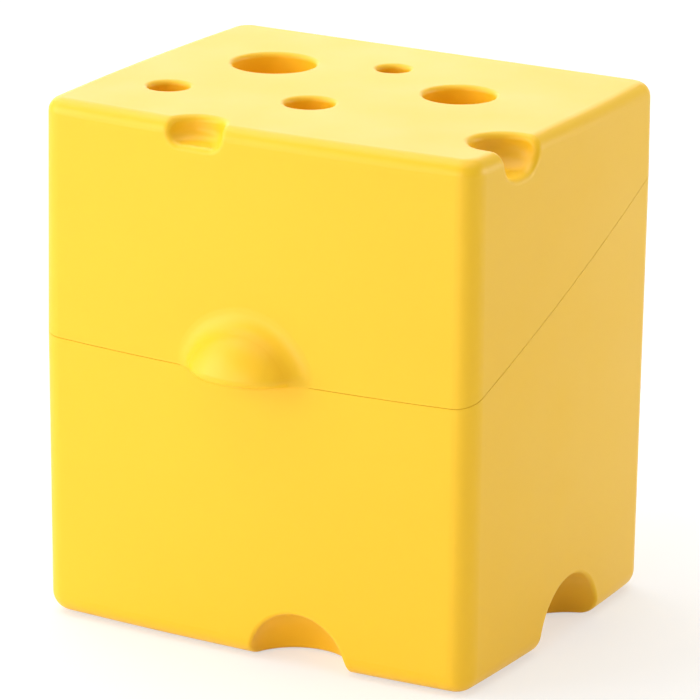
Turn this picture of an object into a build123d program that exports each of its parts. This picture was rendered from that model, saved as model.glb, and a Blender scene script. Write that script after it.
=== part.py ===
"""Flip-top keeper for cheese slices, shaped like a block of cheese.

Millimetres. The origin is the middle of the base, +Z is up and the front faces -Y.
Body and lid part along one sloping plane, which rises from the front to the hinge.
"""
import os
from math import cos, hypot, radians, sin, tan

from build123d import *

# Overall block: the front and the sides bulge a little, and the back is flat
width = 98.7
depth = 78.7
height = 109.0
front_bulge = 1.75
side_bulge = 1.2
wall = 2.0
floor_thickness = 2.2
roof_thickness = 2.2
draft_angle = 0.35
corner_radius = 4.8
top_edge_radius = 3.0
least_corner_radius = 0.5

# How much smaller the base edge's rounding is than the corners', outside and inside
base_edge_step = 0.6
inner_edge_step = 0.8

# Parting plane between the body and the lid: its height at the corners
parting_front = 59.8
parting_back = 90.8
parting_gap = 0.12

# Locating lip of the body, which stands inside the lid
lip_height = 3.0
lip_root = 4.0
lip_thickness = 1.3
lip_clearance = 0.5
lip_edge_radius = 0.4

# Friction nubs on the lip, near the front of each side
nub_radius = 0.9
nub_proud = 0.3
nub_from_front = 14.0

# Blind round holes in the top: centre x, centre y, radius
top_holes = [
    (-24.2, 10.4, 8.6),
    (-32.6, -17.3, 4.2),
    (-1.5, -14.4, 5.0),
    (-1.0, 19.1, 3.4),
    (20.8, 7.1, 7.3),
]
hole_depth = 7.0
hole_rim_radius = 1.0
hole_floor_radius = 1.2

# Round bites out of the top edges
front_bite_x = -12.6
front_bite_inboard = 0.8
front_bite_radius = 5.9
front_bite_depth = 4.8
front_bite_floor_radius = 2.5
side_bite_y = -21.0
side_bite_inboard = 4.3
side_bite_radius = 6.9
side_bite_depth = 6.6
side_bite_floor_radius = 4.8
bite_rim_radius = 1.3

# Scooped bites out of the base edges
front_scoop_x = 11.4
front_scoop_radius = 11.0
side_scoop_y = 3.9
side_scoop_radius = 12.9
scoop_rim_radius = 0.8

# Thumb tab on the front of the lid: its half width and rise at the lid's lower edge
tab_x = -0.6
tab_half_width = 12.6
tab_rise = 10.2
tab_reach = 9.0
tab_wall = 2.0
tab_blend_radius = 5.5
tab_lip_radius = 1.4

# Hinges on the back, one each side of the middle
hinge_spread = 25.0
knuckle_radius = 3.3
lid_knuckle_length = 9.0
body_knuckle_length = 6.0
knuckle_gap = 0.3
hinge_offset = 3.8
knuckle_root = 8.0
root_overlap = 0.3
lid_root_clearance = 1.5
body_root_clearance = 3.8
pin_radius = 1.5
pin_fit = 0.02
pin_running_clearance = 0.08
pin_end_wall = 1.2
pin_end_gap = 0.2
pin_recess = 0.5
pin_end_chamfer = 0.3
open_angle = 110.0
stop_clearance = 0.2
stop_nose_root = 0.6
stop_nose_tip = 3.0

# Room that cutting tools reach past what they cut, and the height of a wall's cylinder
margin = 10.0
drum_height = 4 * height


def front_face(x):
    """The place of the front face at x, along the parting line."""
    return -depth / 2 - front_bulge * (1 - (2 * x / width) ** 2)


def side_face(y):
    """The place of the right-hand face at y, along the parting line."""
    return width / 2 + side_bulge * (1 - (2 * y / depth) ** 2)


# Roundings of the base's and the hollows' edges, which run into the corners
base_edge_radius = corner_radius - base_edge_step
inner_edge_radius = corner_radius - wall - inner_edge_step

# Parting and hinge line
parting_mid = (parting_front + parting_back) / 2
parting_slope = (parting_back - parting_front) / depth
hinge_y = depth / 2 + hinge_offset
hinge_z = parting_mid + parting_slope * hinge_y

# Hinge lengths, along the hinge line
hinge_places = (-hinge_spread, hinge_spread)
hinge_half_span = lid_knuckle_length / 2 + knuckle_gap + body_knuckle_length
body_knuckle_step = lid_knuckle_length / 2 + knuckle_gap + body_knuckle_length / 2
pin_length = 2 * hinge_half_span - pin_end_wall - pin_end_gap - pin_recess

# Thumb tab, a dome round an axis that runs front to back
tab_face = front_face(tab_x)
mouth_front = parting_mid + parting_slope * tab_face + parting_gap / 2 * hypot(1, parting_slope)
tab_radius = (tab_half_width**2 + tab_rise**2) / (2 * tab_rise)
tab_middle = mouth_front + tab_rise - tab_radius

# Lip and nubs
lip_inset = wall + lip_clearance
nub_y = -depth / 2 + nub_from_front
nub_z = parting_mid + parting_slope * nub_y + lip_height / 2
nub_end_x = side_face(nub_y) - lip_inset + nub_proud

# Bites: centre x, centre y, radius, depth, and the rounding of the floor
bites = [
    (
        front_bite_x,
        front_face(front_bite_x) + front_bite_inboard,
        front_bite_radius,
        front_bite_depth,
        front_bite_floor_radius,
    ),
    (
        side_face(side_bite_y) - side_bite_inboard,
        side_bite_y,
        side_bite_radius,
        side_bite_depth,
        side_bite_floor_radius,
    ),
]

# Scoops: centre x, centre y and radius
scoops = [
    (front_scoop_x, front_face(front_scoop_x), front_scoop_radius),
    (side_face(side_scoop_y), side_scoop_y, side_scoop_radius),
]


def parting_plane(rise):
    """The parting plane, lifted by rise along its own normal."""
    plane = Plane(origin=(0, 0, parting_mid), x_dir=(1, 0, 0), z_dir=(0, -parting_slope, 1))
    return plane.offset(rise)


def bulged_wall(middle, outward, half_span, bulge, inset, lean):
    """A tall cylinder, whose outward side is one bulging wall of the block.

    It leans by lean degrees about the parting line through middle, the wall's middle point.
    """
    radius = (half_span**2 + bulge**2) / (2 * bulge)
    line = Vector(0, 0, 1).cross(outward) + Vector(0, 0, parting_slope * outward.X)
    with BuildPart() as drum:
        with Locations(Plane(origin=middle - outward * radius, x_dir=-outward, z_dir=(0, 0, 1))):
            Cylinder(radius - inset, drum_height)
    return drum.part.rotate(Axis(middle, line), -lean)


def block(lean_sign, inset, low, high, edge_radius):
    """A rounded block from z = low to z = high, set in from the outside by inset.

    Its four walls lean in away from the parting line: upwards in the lid (lean_sign 1)
    and downwards in the body (lean_sign -1).
    """
    lean = lean_sign * draft_angle
    front_middle = Vector(0, front_face(0), parting_mid + parting_slope * front_face(0))
    right_middle = Vector(side_face(0), 0, parting_mid)
    left_middle = Vector(-side_face(0), 0, parting_mid)
    back = Plane(origin=(0, depth / 2 - inset, parting_back), z_dir=(0, 1, tan(radians(lean))))
    with BuildPart() as form:
        with Locations((0, 0, low)):
            Box(
                width + margin,
                depth + margin,
                high - low,
                align=(Align.CENTER, Align.CENTER, Align.MIN),
            )
        split(bisect_by=back, keep=Keep.BOTTOM)
        for bulged in (
            bulged_wall(front_middle, Vector(0, -1, 0), width / 2, front_bulge, inset, lean),
            bulged_wall(right_middle, Vector(1, 0, 0), depth / 2, side_bulge, inset, lean),
            bulged_wall(left_middle, Vector(-1, 0, 0), depth / 2, side_bulge, inset, lean),
        ):
            add(bulged, mode=Mode.INTERSECT)
        uprights = form.edges().filter_by(lambda edge: abs(edge.tangent_at(0.5).Z) > 0.9)
        fillet(uprights, max(corner_radius - inset, least_corner_radius))
        if edge_radius:
            end_face = form.faces().sort_by(Axis.Z)[-1 if lean_sign > 0 else 0]
            fillet(end_face.edges(), edge_radius)
    return form.part


def well(x, y, radius, bottom, soften, edge_size):
    """A round solid from z = bottom up past the top, its lower edge cut by soften."""
    with BuildPart() as cutter:
        with BuildSketch(Plane.XY.offset(bottom)):
            with Locations((x, y)):
                Circle(radius)
        extrude(amount=height + margin - bottom)
        soften(cutter.edges().group_by(Axis.Z)[0], edge_size)
    return cutter.part


def knuckle(x, length, root_sign, root_clearance):
    """A hinge knuckle at x, with its root on the back wall above (1) or below (-1) the hinge."""
    with BuildPart() as piece:
        with BuildSketch(Plane.YZ.offset(x)):
            with Locations((hinge_y, hinge_z)):
                Circle(knuckle_radius)
            root_middle = hinge_z + root_sign * (root_clearance + knuckle_root / 2)
            with Locations((depth / 2 - root_overlap / 2, root_middle)):
                Rectangle(root_overlap, knuckle_root)
            make_hull()
        extrude(amount=length / 2, both=True)
    return piece.part


def stop_nose_solid(x):
    """The nose on a lid knuckle that meets the back wall when the lid is fully open."""
    opened = Plane(
        origin=(x, hinge_y, hinge_z),
        x_dir=(0, cos(radians(open_angle)), sin(radians(open_angle))),
        z_dir=(1, 0, 0),
    )
    reach = hinge_offset - stop_clearance
    with BuildPart() as nose:
        with BuildSketch(opened):
            with BuildLine():
                Polyline(
                    (0, 0),
                    (-reach, -stop_nose_root),
                    (-reach, -stop_nose_tip),
                    (0, -knuckle_radius),
                    close=True,
                )
            make_face()
        extrude(amount=lid_knuckle_length / 2, both=True)
    return nose.part


def tab_dome(shrink, depth_in):
    """The thumb tab's dome, made smaller all round by shrink.

    It ends depth_in behind the front face.
    """
    radius = tab_radius - shrink
    with BuildPart() as dome:
        with BuildSketch(Plane.XY.offset(tab_middle)):
            with Locations((tab_x, tab_face + wall / 2)):
                Ellipse(radius, tab_reach - shrink + wall / 2)
            with Locations((tab_x, tab_face + depth_in)):
                Rectangle(
                    radius, 2 * tab_reach, align=(Align.MIN, Align.MAX), mode=Mode.INTERSECT
                )
        revolve(axis=Axis((tab_x, 0, tab_middle), (0, 1, 0)))
    return dome.part


def hinge_pin(side, label):
    """The pin of one hinge, pushed in from the outer end."""
    inner_end = side * (hinge_spread - hinge_half_span + pin_end_wall + pin_end_gap)
    with BuildPart() as pin:
        with Locations(Plane(origin=(inner_end, hinge_y, hinge_z), z_dir=(side, 0, 0))):
            Cylinder(pin_radius, pin_length, align=(Align.CENTER, Align.CENTER, Align.MIN))
        chamfer(pin.edges(), pin_end_chamfer)
    pin.part.label = label
    return pin.part


lid_block = block(1, 0, 0, height, top_edge_radius)
lid_skin = lid_block.shell()
body_block = block(-1, 0, 0, height, base_edge_radius)
body_skin = body_block.shell()

# Cutters for the blind holes and bites, and the cups left standing round them inside
hole_wells = [
    well(x, y, radius, height - hole_depth, fillet, hole_floor_radius)
    for x, y, radius in top_holes
]
hole_cups = [
    well(x, y, radius + wall, height - hole_depth - wall, chamfer, hole_floor_radius)
    for x, y, radius in top_holes
]
bite_wells = [
    well(x, y, radius, height - deep, fillet, floor_radius)
    for x, y, radius, deep, floor_radius in bites
]
bite_cups = [
    well(x, y, radius + wall, height - deep - wall, chamfer, floor_radius)
    for x, y, radius, deep, floor_radius in bites
]

# Inside of the lid
with BuildPart() as lid_hollow:
    add(block(1, wall, 0, height - roof_thickness, inner_edge_radius))
    for cup in hole_cups + bite_cups:
        add(cup, mode=Mode.SUBTRACT)

# Locating lip: a plug inside the mouth of the body, bored out later with the body
with BuildPart() as lip:
    add(block(1, lip_inset, 0, height, 0))
    split(bisect_by=parting_plane(lip_height), keep=Keep.BOTTOM)
    split(bisect_by=parting_plane(-lip_root - wall), keep=Keep.TOP)
    fillet(lip.faces().sort_by(Axis.Z)[-1].edges(), lip_edge_radius)

# Inside of the body and its lip, with a bump left standing behind each scoop
with BuildPart() as body_hollow:
    add(block(-1, wall, floor_thickness, height, inner_edge_radius))
    split(bisect_by=parting_plane(-lip_root), keep=Keep.BOTTOM)
    add(block(1, lip_inset + lip_thickness, parting_front / 2, height, 0))
    for x, y, radius in scoops:
        with Locations((x, y, 0)):
            Sphere(radius + wall, mode=Mode.SUBTRACT)

# Thumb tab with its lower edge rounded, and the finger pocket under it
pocket = tab_dome(tab_wall, 0)
with BuildPart() as tab:
    add(tab_dome(0, wall / 2))
    split(bisect_by=Plane.XY.offset(mouth_front), keep=Keep.TOP)
    under_edges = tab.faces().sort_by(Axis.Z)[0].edges()
    fillet(under_edges.filter_by(GeomType.LINE, reverse=True), tab_lip_radius)

with BuildPart() as lid:
    # Outer form with the thumb tab blended into the front wall
    add(lid_block)
    add(tab.part)
    tab_root = lid.edges().filter_by(
        lambda edge: edge.geom_type != GeomType.LINE
        and abs(edge.center().Y - tab_face) < 1.0
        and abs(edge.center().X - tab_x) < tab_half_width
    )
    fillet(tab_root, tab_blend_radius)
    split(bisect_by=parting_plane(parting_gap / 2), keep=Keep.TOP)
    with Locations((tab_x, tab_face, mouth_front)):
        Box(
            width,
            2 * tab_reach,
            height,
            align=(Align.CENTER, Align.MAX, Align.MAX),
            mode=Mode.SUBTRACT,
        )
    # Blind holes and edge bites with rounded rims
    for cutter in hole_wells:
        add(cutter, mode=Mode.SUBTRACT)
    hole_rims = lid.edges().filter_by(GeomType.CIRCLE).filter_by(
        lambda edge: abs(edge.center().Z - height) < 0.01 and edge.is_closed
    )
    fillet(hole_rims, hole_rim_radius)
    for (x, y, radius, deep, _), cutter in zip(bites, bite_wells):
        add(cutter, mode=Mode.SUBTRACT)
        rim = lid.edges().filter_by(
            lambda edge: hypot((edge @ 0.5).X - x, (edge @ 0.5).Y - y) < radius + 0.01
            and (edge @ 0.5).Z > height - deep - 0.01
            and lid_skin.distance_to(Vertex(edge @ 0.5)) < 0.01
        )
        fillet(rim, bite_rim_radius)

    # Hollow inside, and the finger pocket under the tab
    add(lid_hollow.part, mode=Mode.SUBTRACT)
    add(pocket, mode=Mode.SUBTRACT)

    # Hinge knuckles
    for x in hinge_places:
        add(knuckle(x, lid_knuckle_length, 1, lid_root_clearance))
        add(stop_nose_solid(x))
        with Locations(Plane(origin=(x, hinge_y, hinge_z), z_dir=(1, 0, 0))):
            Cylinder(
                pin_radius + pin_running_clearance,
                lid_knuckle_length + margin,
                mode=Mode.SUBTRACT,
            )
lid.part.label = "lid"

with BuildPart() as body:
    # Outer form, with the scoops out of its base
    add(body_block)
    for x, y, radius in scoops:
        with Locations((x, y, 0)):
            Sphere(radius, mode=Mode.SUBTRACT)
        rim = body.edges().filter_by(
            lambda edge: abs(((edge @ 0.5) - Vector(x, y, 0)).length - radius) < 0.01
            and body_skin.distance_to(Vertex(edge @ 0.5)) < 0.01
        )
        fillet(rim, scoop_rim_radius)

    # Hollow inside, up to the mouth, where the lip stands in it
    split(bisect_by=parting_plane(-parting_gap / 2), keep=Keep.BOTTOM)
    add(lip.part)
    for side in (-1, 1):
        with Locations(Plane(origin=(side * nub_end_x, nub_y, nub_z), z_dir=(side, 0, 0))):
            Cylinder(nub_radius, margin, align=(Align.CENTER, Align.CENTER, Align.MAX))
    add(body_hollow.part, mode=Mode.SUBTRACT)

    # Hinge knuckles, bored for the pins
    for x in hinge_places:
        for side in (-1, 1):
            place = x + side * body_knuckle_step
            add(knuckle(place, body_knuckle_length, -1, body_root_clearance))
    for side in (-1, 1):
        inner_end = side * (hinge_spread - hinge_half_span + pin_end_wall)
        with Locations(Plane(origin=(inner_end, hinge_y, hinge_z), z_dir=(side, 0, 0))):
            Cylinder(
                pin_radius + pin_fit,
                2 * hinge_half_span,
                align=(Align.CENTER, Align.CENTER, Align.MIN),
                mode=Mode.SUBTRACT,
            )
body.part.label = "body"

pieces = [
    body.part,
    lid.part,
    hinge_pin(-1, "hinge_pin_left"),
    hinge_pin(1, "hinge_pin_right"),
]
os.makedirs("parts", exist_ok=True)
for piece in pieces:
    export_step(piece, f"parts/{piece.label}.step")
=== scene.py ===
"""Looks of the flip-top cheese keeper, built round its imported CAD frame.

The four CAD pieces stay as they are and get procedural materials. Lengths are in metres.
"""

import math

import bpy
from mathutils import Matrix, Vector

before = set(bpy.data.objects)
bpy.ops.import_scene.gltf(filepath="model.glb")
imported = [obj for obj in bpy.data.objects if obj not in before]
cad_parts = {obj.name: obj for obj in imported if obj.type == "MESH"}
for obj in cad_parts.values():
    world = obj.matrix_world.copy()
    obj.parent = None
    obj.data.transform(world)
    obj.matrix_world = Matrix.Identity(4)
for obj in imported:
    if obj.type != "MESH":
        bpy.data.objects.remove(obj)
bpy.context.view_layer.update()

WHITE = (1.0, 1.0, 1.0, 1.0)
OBJECT_CENTRE = Vector((0.0, 0.0, 0.0545))

# Camera, at the photograph's angle, in degrees, metres and pixels of the 700 x 700 frame
CAMERA_AZIMUTH = 29.363
CAMERA_ELEVATION = 17.285
CAMERA_ROLL = 0.606
CAMERA_DISTANCE = 0.9672
CAMERA_CLIP = (0.01, 50.0)
FOCAL_PIXELS = 4723.0
FRAME_PIXELS = 700.0
CENTRE_PIXELS = (349.065, 346.806)
SENSOR_WIDTH = 36.0  # mm

# World: its strength as a light, and as it is seen
WORLD_LIGHTING = 0.2
WORLD_SEEN = 1.0

# Floor: how pale it is as it lights the object, and as it is seen. What is seen keeps the
# shadow, is lifted by a glow, and fades to plain white over FLOOR_FADE from the object.
FLOOR_HALF_WIDTH = 4.0
FLOOR_DROP = 0.0002
FLOOR_LIGHTING = 0.95
FLOOR_SEEN = 0.5
FLOOR_GLOW = 0.55
FLOOR_FADE = (0.3, 0.9)

# Square soft boxes that face the object: name, direction, distance, width, watts
SOFT_BOXES = (
    ("overhead", (0.0, 0.0, 1.0), 1.2, 1.2, 7.2),
    ("upper_left", (-0.6, 0.0, 0.8), 1.2, 0.9, 4.5),
    ("front_left", (-0.75, -0.65, 0.25), 1.2, 0.9, 8.7),
    ("front", (-0.05, -1.0, 0.08), 1.4, 0.8, 7.2),
    ("right_low", (1.0, 0.7, 0.1), 1.2, 0.6, 5.9),
    ("left_back", (-0.55, 0.75, 0.5), 1.2, 1.1, 4.6),
)

# A noise texture's values lie mostly in this range
NOISE_RANGE = (0.3, 0.7)

# Satin plastic: its colour flows slowly between two close sRGB colours
PLASTIC_COLOURS = ((251, 200, 36), (250, 197, 33))
PLASTIC_ROUGHNESS = (0.38, 0.45)
PLASTIC_GLOSS = {"IOR": 1.49, "Specular IOR Level": 0.4}
PLASTIC_SCATTER = {
    "Subsurface Weight": 0.12,
    "Subsurface Radius": (1.0, 0.85, 0.6),
    "Subsurface Scale": 0.002,
}
FLOW_NOISE = {"Scale": 14.0, "Detail": 2.0}
GLOSS_NOISE = {"Scale": 55.0, "Detail": 3.0}
GRAIN_NOISE = {"Scale": 2600.0, "Detail": 2.0}
WAVE_BUMP = {"Strength": 0.12, "Distance": 0.001}
GRAIN_BUMP = {"Strength": 0.05, "Distance": 0.00005}

# Drawn steel: the noise is drawn out along the wire, which lies along X
STEEL_COLOUR = (196, 196, 194)
STEEL_ROUGHNESS = (0.22, 0.4)
LINE_STRETCH = (40.0, 3000.0, 3000.0)
LINE_NOISE = {"Scale": 1.0, "Detail": 3.0}
LINE_BUMP = {"Strength": 0.1, "Distance": 0.00002}

# The sRGB curve: a straight start, and a power above it
SRGB_MAX = 255
SRGB_START = 0.04045
SRGB_SLOPE = 12.92
SRGB_OFFSET = 0.055
SRGB_POWER = 2.4


def linear(colour):
    """An sRGB colour of 0 to 255 as a linear RGBA value."""
    values = []
    for part in colour:
        part /= SRGB_MAX
        if part <= SRGB_START:
            values.append(part / SRGB_SLOPE)
        else:
            values.append(((part + SRGB_OFFSET) / (1 + SRGB_OFFSET)) ** SRGB_POWER)
    return (*values, 1.0)


def grey(level):
    """A grey as a linear RGBA value."""
    return (level, level, level, 1.0)


def new_material(name):
    """An empty node material, with its node tree."""
    material = bpy.data.materials.new(name)
    material.use_nodes = True
    tree = material.node_tree
    tree.nodes.clear()
    return material, tree


def node(tree, kind, inputs=None, **settings):
    """A shader node with its settings, and its inputs set or linked."""
    made = tree.nodes.new(kind)
    for key, value in settings.items():
        setattr(made, key, value)
    for key, value in (inputs or {}).items():
        if isinstance(value, bpy.types.NodeSocket):
            tree.links.new(value, made.inputs[key])
        else:
            made.inputs[key].default_value = value
    return made


def object_place(tree):
    """The place on the object, in metres."""
    return node(tree, "ShaderNodeTexCoord").outputs["Object"]


def noise(tree, place, settings):
    """A noise texture's value."""
    return node(tree, "ShaderNodeTexNoise", {"Vector": place, **settings}).outputs["Fac"]


def spread(tree, value, low, high):
    """A noise texture's value, spread from low to high."""
    mapped = node(
        tree,
        "ShaderNodeMapRange",
        {
            "Value": value,
            "From Min": NOISE_RANGE[0],
            "From Max": NOISE_RANGE[1],
            "To Min": low,
            "To Max": high,
        },
    )
    return mapped.outputs["Result"]


def bump(tree, height, settings):
    """A surface direction with a height's relief in it."""
    return node(tree, "ShaderNodeBump", {"Height": height, **settings}).outputs["Normal"]


def seen_mask(tree):
    """1 for rays that show the background itself: camera, glossy and transmission rays."""
    path = node(tree, "ShaderNodeLightPath")
    first = node(
        tree,
        "ShaderNodeMath",
        {0: path.outputs["Is Camera Ray"], 1: path.outputs["Is Glossy Ray"]},
        operation="MAXIMUM",
    )
    both = node(
        tree,
        "ShaderNodeMath",
        {0: first.outputs[0], 1: path.outputs["Is Transmission Ray"]},
        operation="MAXIMUM",
    )
    return both.outputs[0]


def plastic(name):
    """Satin injection-moulded plastic: fine mould grain, slow surface waves and uneven gloss."""
    material, tree = new_material(name)
    place = object_place(tree)
    flow = noise(tree, place, FLOW_NOISE)
    first, second = (linear(colour) for colour in PLASTIC_COLOURS)
    colour = node(
        tree,
        "ShaderNodeMix",
        {"Factor": spread(tree, flow, 0.0, 1.0), "A": first, "B": second},
        data_type="RGBA",
    )
    roughness = spread(tree, noise(tree, place, GLOSS_NOISE), *PLASTIC_ROUGHNESS)
    waves = bump(tree, flow, WAVE_BUMP)
    grain = noise(tree, place, GRAIN_NOISE)
    shader = node(
        tree,
        "ShaderNodeBsdfPrincipled",
        {
            "Base Color": colour.outputs["Result"],
            "Roughness": roughness,
            "Normal": bump(tree, grain, {**GRAIN_BUMP, "Normal": waves}),
            **PLASTIC_GLOSS,
            **PLASTIC_SCATTER,
        },
    )
    node(tree, "ShaderNodeOutputMaterial", {"Surface": shader.outputs["BSDF"]})
    return material


def steel(name):
    """Drawn steel wire with fine lines along its length."""
    material, tree = new_material(name)
    stretched = node(
        tree, "ShaderNodeMapping", {"Vector": object_place(tree), "Scale": LINE_STRETCH}
    )
    lines = noise(tree, stretched.outputs["Vector"], LINE_NOISE)
    shader = node(
        tree,
        "ShaderNodeBsdfPrincipled",
        {
            "Base Color": linear(STEEL_COLOUR),
            "Metallic": 1.0,
            "Roughness": spread(tree, lines, *STEEL_ROUGHNESS),
            "Normal": bump(tree, lines, LINE_BUMP),
        },
    )
    node(tree, "ShaderNodeOutputMaterial", {"Surface": shader.outputs["BSDF"]})
    return material


def floor_material(name):
    """A pale floor that shows as white, apart from the object's shadow."""
    material, tree = new_material(name)
    lighting = node(tree, "ShaderNodeBsdfDiffuse", {"Color": grey(FLOOR_LIGHTING)})
    shadowed = node(tree, "ShaderNodeBsdfDiffuse", {"Color": grey(FLOOR_SEEN)})
    glow = node(tree, "ShaderNodeEmission", {"Color": WHITE, "Strength": FLOOR_GLOW})
    near = node(tree, "ShaderNodeAddShader", {0: shadowed.outputs[0], 1: glow.outputs[0]})
    far = node(tree, "ShaderNodeEmission", {"Color": WHITE, "Strength": WORLD_SEEN})
    reach = node(
        tree, "ShaderNodeVectorMath", {0: object_place(tree)}, operation="LENGTH"
    )
    fade = node(
        tree,
        "ShaderNodeMapRange",
        {
            "Value": reach.outputs["Value"],
            "From Min": FLOOR_FADE[0],
            "From Max": FLOOR_FADE[1],
        },
        interpolation_type="SMOOTHSTEP",
    )
    seen = node(
        tree,
        "ShaderNodeMixShader",
        {0: fade.outputs["Result"], 1: near.outputs[0], 2: far.outputs[0]},
    )
    mixed = node(
        tree,
        "ShaderNodeMixShader",
        {0: seen_mask(tree), 1: lighting.outputs[0], 2: seen.outputs[0]},
    )
    node(tree, "ShaderNodeOutputMaterial", {"Surface": mixed.outputs[0]})
    return material


def paint(names, material):
    """Gives CAD nodes their material."""
    for name in names:
        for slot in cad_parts[name].material_slots:
            slot.material = material


def add_object(name, data):
    """A new object in the scene."""
    made = bpy.data.objects.new(name, data)
    bpy.context.scene.collection.objects.link(made)
    return made


def make_floor():
    """The plain pale floor, a hair below the object so that the two don't coincide."""
    mesh = bpy.data.meshes.new("floor")
    h = FLOOR_HALF_WIDTH
    mesh.from_pydata([(-h, -h, 0), (h, -h, 0), (h, h, 0), (-h, h, 0)], [], [(0, 1, 2, 3)])
    mesh.materials.append(floor_material("pale_floor"))
    floor = add_object("floor", mesh)
    floor.location.z = -FLOOR_DROP


def make_world():
    """Even pale surroundings, which show as white."""
    world = bpy.data.worlds.new("studio")
    bpy.context.scene.world = world
    world.use_nodes = True
    tree = world.node_tree
    tree.nodes.clear()
    strength = node(
        tree,
        "ShaderNodeMapRange",
        {"Value": seen_mask(tree), "To Min": WORLD_LIGHTING, "To Max": WORLD_SEEN},
    )
    background = node(
        tree,
        "ShaderNodeBackground",
        {"Color": WHITE, "Strength": strength.outputs["Result"]},
    )
    node(tree, "ShaderNodeOutputWorld", {"Surface": background.outputs[0]})


def soft_light(name, direction, distance, width, watts):
    """A square soft box that faces the object from a direction."""
    data = bpy.data.lights.new(name, "AREA")
    data.shape = "SQUARE"
    data.size = width
    data.energy = watts
    light = add_object(name, data)
    towards = Vector(direction).normalized()
    light.location = OBJECT_CENTRE + towards * distance
    light.rotation_mode = "QUATERNION"
    light.rotation_quaternion = towards.to_track_quat("Z", "Y")


def make_camera():
    """A camera where the photograph was taken from, with its framing."""
    azimuth, elevation, roll = (
        math.radians(angle) for angle in (CAMERA_AZIMUTH, CAMERA_ELEVATION, CAMERA_ROLL)
    )
    back = Vector(
        (
            math.sin(azimuth) * math.cos(elevation),
            -math.cos(azimuth) * math.cos(elevation),
            math.sin(elevation),
        )
    )
    right = Vector((math.cos(azimuth), math.sin(azimuth), 0.0))
    up = back.cross(right)
    right, up = (
        right * math.cos(roll) + up * math.sin(roll),
        up * math.cos(roll) - right * math.sin(roll),
    )
    data = bpy.data.cameras.new("camera")
    data.sensor_width = SENSOR_WIDTH
    data.lens = FOCAL_PIXELS / FRAME_PIXELS * SENSOR_WIDTH
    data.shift_x = (FRAME_PIXELS / 2 - CENTRE_PIXELS[0]) / FRAME_PIXELS
    data.shift_y = (CENTRE_PIXELS[1] - FRAME_PIXELS / 2) / FRAME_PIXELS
    data.clip_start, data.clip_end = CAMERA_CLIP
    camera = add_object("camera", data)
    turn = Matrix((right, up, back)).transposed().to_4x4()
    camera.matrix_world = Matrix.Translation(OBJECT_CENTRE + back * CAMERA_DISTANCE) @ turn
    bpy.context.scene.camera = camera


paint(["body", "lid"], plastic("yellow_plastic"))
paint(["hinge_pin_left", "hinge_pin_right"], steel("pin_steel"))
make_floor()
make_world()
for soft_box in SOFT_BOXES:
    soft_light(*soft_box)
make_camera()
bpy.context.scene.view_settings.view_transform = "Standard"
